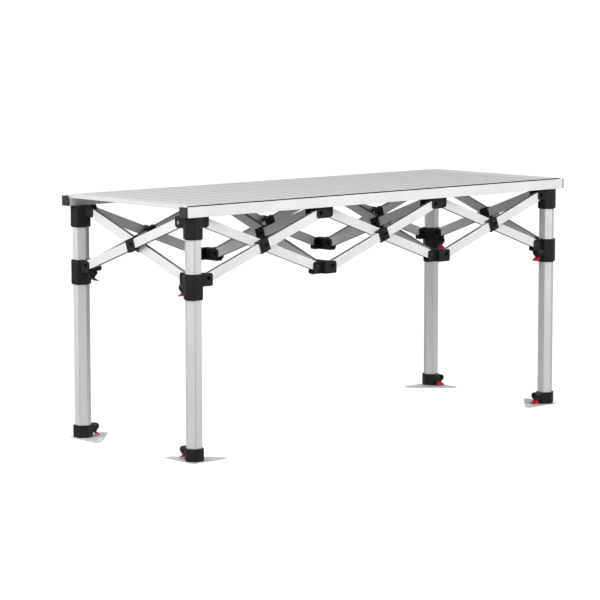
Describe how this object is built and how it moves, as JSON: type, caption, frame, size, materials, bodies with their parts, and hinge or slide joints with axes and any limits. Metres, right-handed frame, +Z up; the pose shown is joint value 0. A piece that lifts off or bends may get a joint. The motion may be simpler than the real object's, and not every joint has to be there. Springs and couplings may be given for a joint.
{
  "type": "folding table",
  "caption": "Folding camp table with a slatted aluminium top on a concertina frame of crossed bars and four hexagonal telescoping legs with sliding collars.",
  "frame": {"origin": "on the floor under the middle of the top", "axes": "+X along the table, +Y to the back across it, +Z up"},
  "size_m": [1.58, 0.582, 0.7365],
  "materials": {
    "aluminium": "satin anodised",
    "slat_aluminium": "fine brushed anodised",
    "black_plastic": "fine grained",
    "red_plastic": "semi-gloss",
    "zinc_steel": "zinc plated"
  },
  "bodies": {
    "post_front_left": {"leg_front_left": "aluminium", "top_cap_front_left": "black_plastic", "foot_collar_front_left": "black_plastic"},
    "slider_front_left": {"slider_front_left": "black_plastic"},
    "slider_lever_front_left": {"slider_lever_front_left": "red_plastic"},
    "foot_lever_front_left": {"foot_lever_front_left": "red_plastic"},
    "foot_front_left": {"foot_front_left": "zinc_steel"},
    "post_front_right": {"leg_front_right": "aluminium", "top_cap_front_right": "black_plastic", "foot_collar_front_right": "black_plastic"},
    "slider_front_right": {"slider_front_right": "black_plastic"},
    "slider_lever_front_right": {"slider_lever_front_right": "red_plastic"},
    "foot_lever_front_right": {"foot_lever_front_right": "red_plastic"},
    "foot_front_right": {"foot_front_right": "zinc_steel"},
    "post_back_right": {"leg_back_right": "aluminium", "top_cap_back_right": "black_plastic", "foot_collar_back_right": "black_plastic"},
    "slider_back_right": {"slider_back_right": "black_plastic"},
    "slider_lever_back_right": {"slider_lever_back_right": "red_plastic"},
    "foot_lever_back_right": {"foot_lever_back_right": "red_plastic"},
    "foot_back_right": {"foot_back_right": "zinc_steel"},
    "post_back_left": {"leg_back_left": "aluminium", "top_cap_back_left": "black_plastic", "foot_collar_back_left": "black_plastic"},
    "slider_back_left": {"slider_back_left": "black_plastic"},
    "slider_lever_back_left": {"slider_lever_back_left": "red_plastic"},
    "foot_lever_back_left": {"foot_lever_back_left": "red_plastic"},
    "foot_back_left": {"foot_back_left": "zinc_steel"},
    "hub_top_front_1": {"hub_top_front_1": "black_plastic"},
    "hub_bottom_front_1": {"hub_bottom_front_1": "black_plastic"},
    "hub_top_front_2": {"hub_top_front_2": "black_plastic"},
    "hub_bottom_front_2": {"hub_bottom_front_2": "black_plastic"},
    "hub_top_back_1": {"hub_top_back_1": "black_plastic"},
    "hub_bottom_back_1": {"hub_bottom_back_1": "black_plastic"},
    "hub_top_back_2": {"hub_top_back_2": "black_plastic"},
    "hub_bottom_back_2": {"hub_bottom_back_2": "black_plastic"},
    "bar_front_1_outer": {"bar_front_1_outer": "aluminium"},
    "bar_front_1_inner": {"bar_front_1_inner": "aluminium"},
    "bar_front_2_outer": {"bar_front_2_outer": "aluminium"},
    "bar_front_2_inner": {"bar_front_2_inner": "aluminium"},
    "bar_front_3_outer": {"bar_front_3_outer": "aluminium"},
    "bar_front_3_inner": {"bar_front_3_inner": "aluminium"},
    "bar_back_1_outer": {"bar_back_1_outer": "aluminium"},
    "bar_back_1_inner": {"bar_back_1_inner": "aluminium"},
    "bar_back_2_outer": {"bar_back_2_outer": "aluminium"},
    "bar_back_2_inner": {"bar_back_2_inner": "aluminium"},
    "bar_back_3_outer": {"bar_back_3_outer": "aluminium"},
    "bar_back_3_inner": {"bar_back_3_inner": "aluminium"},
    "bar_left_outer": {"bar_left_outer": "aluminium"},
    "bar_left_inner": {"bar_left_inner": "aluminium"},
    "bar_middle_1_outer": {"bar_middle_1_outer": "aluminium"},
    "bar_middle_1_inner": {"bar_middle_1_inner": "aluminium"},
    "bar_middle_2_outer": {"bar_middle_2_outer": "aluminium"},
    "bar_middle_2_inner": {"bar_middle_2_inner": "aluminium"},
    "bar_right_outer": {"bar_right_outer": "aluminium"},
    "bar_right_inner": {"bar_right_inner": "aluminium"},
    "tabletop": {"rail_front": "aluminium", "rail_back": "aluminium", "slat_top": "slat_aluminium"}
  },
  "joints": [
    {"name": "fold", "type": "hinge", "parent": "post_front_left", "child": "bar_front_1_inner", "pos_m": [-0.699, -0.261, 0.685], "axis": [0, 1, 0], "range_deg": [0, 54]},
    {"name": "cross_front_1", "type": "hinge", "parent": "bar_front_1_inner", "child": "bar_front_1_outer", "pos_m": [-0.482, -0.261, 0.60575], "axis": [0, 1, 0], "range_deg": [-108, 0]},
    {"name": "pivot_top_front_1_outer", "type": "hinge", "parent": "bar_front_1_outer", "child": "hub_top_front_1", "pos_m": [-0.265, -0.261, 0.685], "axis": [0, 1, 0], "range_deg": [0, 54]},
    {"name": "pivot_bottom_front_1_outer", "type": "hinge", "parent": "bar_front_1_outer", "child": "slider_front_left", "pos_m": [-0.699, -0.261, 0.5265], "axis": [0, 1, 0], "range_deg": [0, 54]},
    {"name": "pivot_bottom_front_1_inner", "type": "hinge", "parent": "bar_front_1_inner", "child": "hub_bottom_front_1", "pos_m": [-0.265, -0.261, 0.5265], "axis": [0, 1, 0], "range_deg": [-54, 0]},
    {"name": "pivot_top_front_2_inner", "type": "hinge", "parent": "hub_top_front_1", "child": "bar_front_2_inner", "pos_m": [-0.217, -0.261, 0.685], "axis": [0, 1, 0], "range_deg": [0, 54]},
    {"name": "cross_front_2", "type": "hinge", "parent": "bar_front_2_inner", "child": "bar_front_2_outer", "pos_m": [0, -0.261, 0.60575], "axis": [0, 1, 0], "range_deg": [-108, 0]},
    {"name": "pivot_top_front_2_outer", "type": "hinge", "parent": "bar_front_2_outer", "child": "hub_top_front_2", "pos_m": [0.217, -0.261, 0.685], "axis": [0, 1, 0], "range_deg": [0, 54]},
    {"name": "pivot_bottom_front_2_inner", "type": "hinge", "parent": "bar_front_2_inner", "child": "hub_bottom_front_2", "pos_m": [0.217, -0.261, 0.5265], "axis": [0, 1, 0], "range_deg": [-54, 0]},
    {"name": "pivot_top_front_3_inner", "type": "hinge", "parent": "hub_top_front_2", "child": "bar_front_3_inner", "pos_m": [0.265, -0.261, 0.685], "axis": [0, 1, 0], "range_deg": [0, 54]},
    {"name": "cross_front_3", "type": "hinge", "parent": "bar_front_3_inner", "child": "bar_front_3_outer", "pos_m": [0.482, -0.261, 0.60575], "axis": [0, 1, 0], "range_deg": [-108, 0]},
    {"name": "pivot_top_front_3_outer", "type": "hinge", "parent": "bar_front_3_outer", "child": "post_front_right", "pos_m": [0.699, -0.261, 0.685], "axis": [0, 1, 0], "range_deg": [0, 54]},
    {"name": "pivot_bottom_front_3_inner", "type": "hinge", "parent": "bar_front_3_inner", "child": "slider_front_right", "pos_m": [0.699, -0.261, 0.5265], "axis": [0, 1, 0], "range_deg": [-54, 0]},
    {"name": "pivot_top_left_outer", "type": "hinge", "parent": "post_front_left", "child": "bar_left_outer", "pos_m": [-0.743, -0.217, 0.685], "axis": [-1, 0, 0], "range_deg": [0, 54]},
    {"name": "cross_left", "type": "hinge", "parent": "bar_left_outer", "child": "bar_left_inner", "pos_m": [-0.743, 0, 0.60575], "axis": [-1, 0, 0], "range_deg": [-108, 0]},
    {"name": "pivot_top_left_inner", "type": "hinge", "parent": "bar_left_inner", "child": "post_back_left", "pos_m": [-0.743, 0.217, 0.685], "axis": [-1, 0, 0], "range_deg": [0, 54]},
    {"name": "pivot_bottom_left_outer", "type": "hinge", "parent": "bar_left_outer", "child": "slider_back_left", "pos_m": [-0.743, 0.217, 0.5265], "axis": [-1, 0, 0], "range_deg": [-54, 0]},
    {"name": "pivot_top_middle_1_outer", "type": "hinge", "parent": "hub_top_front_1", "child": "bar_middle_1_outer", "pos_m": [-0.241, -0.217, 0.685], "axis": [-1, 0, 0], "range_deg": [0, 54]},
    {"name": "cross_middle_1", "type": "hinge", "parent": "bar_middle_1_outer", "child": "bar_middle_1_inner", "pos_m": [-0.241, 0, 0.60575], "axis": [-1, 0, 0], "range_deg": [-108, 0]},
    {"name": "pivot_top_middle_1_inner", "type": "hinge", "parent": "bar_middle_1_inner", "child": "hub_top_back_1", "pos_m": [-0.241, 0.217, 0.685], "axis": [-1, 0, 0], "range_deg": [0, 54]},
    {"name": "pivot_bottom_middle_1_outer", "type": "hinge", "parent": "bar_middle_1_outer", "child": "hub_bottom_back_1", "pos_m": [-0.241, 0.217, 0.5265], "axis": [-1, 0, 0], "range_deg": [-54, 0]},
    {"name": "pivot_top_middle_2_inner", "type": "hinge", "parent": "hub_top_front_2", "child": "bar_middle_2_inner", "pos_m": [0.241, -0.217, 0.685], "axis": [-1, 0, 0], "range_deg": [0, 54]},
    {"name": "cross_middle_2", "type": "hinge", "parent": "bar_middle_2_inner", "child": "bar_middle_2_outer", "pos_m": [0.241, 0, 0.60575], "axis": [-1, 0, 0], "range_deg": [-108, 0]},
    {"name": "pivot_top_middle_2_outer", "type": "hinge", "parent": "bar_middle_2_outer", "child": "hub_top_back_2", "pos_m": [0.241, 0.217, 0.685], "axis": [-1, 0, 0], "range_deg": [0, 54]},
    {"name": "pivot_bottom_middle_2_inner", "type": "hinge", "parent": "bar_middle_2_inner", "child": "hub_bottom_back_2", "pos_m": [0.241, 0.217, 0.5265], "axis": [-1, 0, 0], "range_deg": [-54, 0]},
    {"name": "pivot_top_right_inner", "type": "hinge", "parent": "post_front_right", "child": "bar_right_inner", "pos_m": [0.743, -0.217, 0.685], "axis": [-1, 0, 0], "range_deg": [0, 54]},
    {"name": "cross_right", "type": "hinge", "parent": "bar_right_inner", "child": "bar_right_outer", "pos_m": [0.743, 0, 0.60575], "axis": [-1, 0, 0], "range_deg": [-108, 0]},
    {"name": "pivot_top_right_outer", "type": "hinge", "parent": "bar_right_outer", "child": "post_back_right", "pos_m": [0.743, 0.217, 0.685], "axis": [-1, 0, 0], "range_deg": [0, 54]},
    {"name": "pivot_bottom_right_inner", "type": "hinge", "parent": "bar_right_inner", "child": "slider_back_right", "pos_m": [0.743, 0.217, 0.5265], "axis": [-1, 0, 0], "range_deg": [-54, 0]},
    {"name": "pivot_top_back_1_outer", "type": "hinge", "parent": "post_back_left", "child": "bar_back_1_outer", "pos_m": [-0.699, 0.261, 0.685], "axis": [0, 1, 0], "range_deg": [0, 54]},
    {"name": "cross_back_1", "type": "hinge", "parent": "bar_back_1_outer", "child": "bar_back_1_inner", "pos_m": [-0.482, 0.261, 0.60575], "axis": [0, 1, 0], "range_deg": [-108, 0]},
    {"name": "pivot_top_back_2_outer", "type": "hinge", "parent": "hub_top_back_1", "child": "bar_back_2_outer", "pos_m": [-0.217, 0.261, 0.685], "axis": [0, 1, 0], "range_deg": [0, 54]},
    {"name": "cross_back_2", "type": "hinge", "parent": "bar_back_2_outer", "child": "bar_back_2_inner", "pos_m": [0, 0.261, 0.60575], "axis": [0, 1, 0], "range_deg": [-108, 0]},
    {"name": "pivot_top_back_3_outer", "type": "hinge", "parent": "hub_top_back_2", "child": "bar_back_3_outer", "pos_m": [0.265, 0.261, 0.685], "axis": [0, 1, 0], "range_deg": [0, 54]},
    {"name": "cross_back_3", "type": "hinge", "parent": "bar_back_3_outer", "child": "bar_back_3_inner", "pos_m": [0.482, 0.261, 0.60575], "axis": [0, 1, 0], "range_deg": [-108, 0]},
    {"name": "tabletop_lift", "type": "slide", "parent": "post_front_left", "child": "tabletop", "axis": [0, 0, 1], "range_m": [0, 0.3]},
    {"name": "foot_slide_front_left", "type": "slide", "parent": "post_front_left", "child": "foot_front_left", "axis": [0, 0, -1], "range_m": [0, 0.14]},
    {"name": "slider_lever_front_left", "type": "hinge", "parent": "slider_front_left", "child": "slider_lever_front_left", "pos_m": [-0.743, -0.22055, 0.499], "axis": [1, 0, 0], "range_deg": [0, 20], "stiffness_Nm_per_rad": 0.02},
    {"name": "foot_lever_front_left", "type": "hinge", "parent": "post_front_left", "child": "foot_lever_front_left", "pos_m": [-0.743, -0.22055, 0.032], "axis": [1, 0, 0], "range_deg": [0, 20], "stiffness_Nm_per_rad": 0.02},
    {"name": "foot_slide_front_right", "type": "slide", "parent": "post_front_right", "child": "foot_front_right", "axis": [0, 0, -1], "range_m": [0, 0.14]},
    {"name": "slider_lever_front_right", "type": "hinge", "parent": "slider_front_right", "child": "slider_lever_front_right", "pos_m": [0.70255, -0.261, 0.499], "axis": [0, 1, 0], "range_deg": [0, 20], "stiffness_Nm_per_rad": 0.02},
    {"name": "foot_lever_front_right", "type": "hinge", "parent": "post_front_right", "child": "foot_lever_front_right", "pos_m": [0.70255, -0.261, 0.032], "axis": [0, 1, 0], "range_deg": [0, 20], "stiffness_Nm_per_rad": 0.02},
    {"name": "foot_slide_back_right", "type": "slide", "parent": "post_back_right", "child": "foot_back_right", "axis": [0, 0, -1], "range_m": [0, 0.14]},
    {"name": "slider_lever_back_right", "type": "hinge", "parent": "slider_back_right", "child": "slider_lever_back_right", "pos_m": [0.743, 0.22055, 0.499], "axis": [-1, 0, 0], "range_deg": [0, 20], "stiffness_Nm_per_rad": 0.02},
    {"name": "foot_lever_back_right", "type": "hinge", "parent": "post_back_right", "child": "foot_lever_back_right", "pos_m": [0.743, 0.22055, 0.032], "axis": [-1, 0, 0], "range_deg": [0, 20], "stiffness_Nm_per_rad": 0.02},
    {"name": "foot_slide_back_left", "type": "slide", "parent": "post_back_left", "child": "foot_back_left", "axis": [0, 0, -1], "range_m": [0, 0.14]},
    {"name": "slider_lever_back_left", "type": "hinge", "parent": "slider_back_left", "child": "slider_lever_back_left", "pos_m": [-0.70255, 0.261, 0.499], "axis": [0, -1, 0], "range_deg": [0, 20], "stiffness_Nm_per_rad": 0.02},
    {"name": "foot_lever_back_left", "type": "hinge", "parent": "post_back_left", "child": "foot_lever_back_left", "pos_m": [-0.70255, 0.261, 0.032], "axis": [0, -1, 0], "range_deg": [0, 20], "stiffness_Nm_per_rad": 0.02}
  ],
  "couplings": [
    {"joint": "cross_front_1", "follows": "fold", "ratio": -2},
    {"joint": "pivot_top_front_1_outer", "follows": "fold", "ratio": 1},
    {"joint": "pivot_bottom_front_1_outer", "follows": "fold", "ratio": 1},
    {"joint": "pivot_bottom_front_1_inner", "follows": "fold", "ratio": -1},
    {"joint": "pivot_top_front_2_inner", "follows": "fold", "ratio": 1},
    {"joint": "cross_front_2", "follows": "fold", "ratio": -2},
    {"joint": "pivot_top_front_2_outer", "follows": "fold", "ratio": 1},
    {"joint": "pivot_bottom_front_2_inner", "follows": "fold", "ratio": -1},
    {"joint": "pivot_top_front_3_inner", "follows": "fold", "ratio": 1},
    {"joint": "cross_front_3", "follows": "fold", "ratio": -2},
    {"joint": "pivot_top_front_3_outer", "follows": "fold", "ratio": 1},
    {"joint": "pivot_bottom_front_3_inner", "follows": "fold", "ratio": -1},
    {"joint": "pivot_top_left_outer", "follows": "fold", "ratio": 1},
    {"joint": "cross_left", "follows": "fold", "ratio": -2},
    {"joint": "pivot_top_left_inner", "follows": "fold", "ratio": 1},
    {"joint": "pivot_bottom_left_outer", "follows": "fold", "ratio": -1},
    {"joint": "pivot_top_middle_1_outer", "follows": "fold", "ratio": 1},
    {"joint": "cross_middle_1", "follows": "fold", "ratio": -2},
    {"joint": "pivot_top_middle_1_inner", "follows": "fold", "ratio": 1},
    {"joint": "pivot_bottom_middle_1_outer", "follows": "fold", "ratio": -1},
    {"joint": "pivot_top_middle_2_inner", "follows": "fold", "ratio": 1},
    {"joint": "cross_middle_2", "follows": "fold", "ratio": -2},
    {"joint": "pivot_top_middle_2_outer", "follows": "fold", "ratio": 1},
    {"joint": "pivot_bottom_middle_2_inner", "follows": "fold", "ratio": -1},
    {"joint": "pivot_top_right_inner", "follows": "fold", "ratio": 1},
    {"joint": "cross_right", "follows": "fold", "ratio": -2},
    {"joint": "pivot_top_right_outer", "follows": "fold", "ratio": 1},
    {"joint": "pivot_bottom_right_inner", "follows": "fold", "ratio": -1},
    {"joint": "pivot_top_back_1_outer", "follows": "fold", "ratio": 1},
    {"joint": "cross_back_1", "follows": "fold", "ratio": -2},
    {"joint": "pivot_top_back_2_outer", "follows": "fold", "ratio": 1},
    {"joint": "cross_back_2", "follows": "fold", "ratio": -2},
    {"joint": "pivot_top_back_3_outer", "follows": "fold", "ratio": 1},
    {"joint": "cross_back_3", "follows": "fold", "ratio": -2}
  ]
}
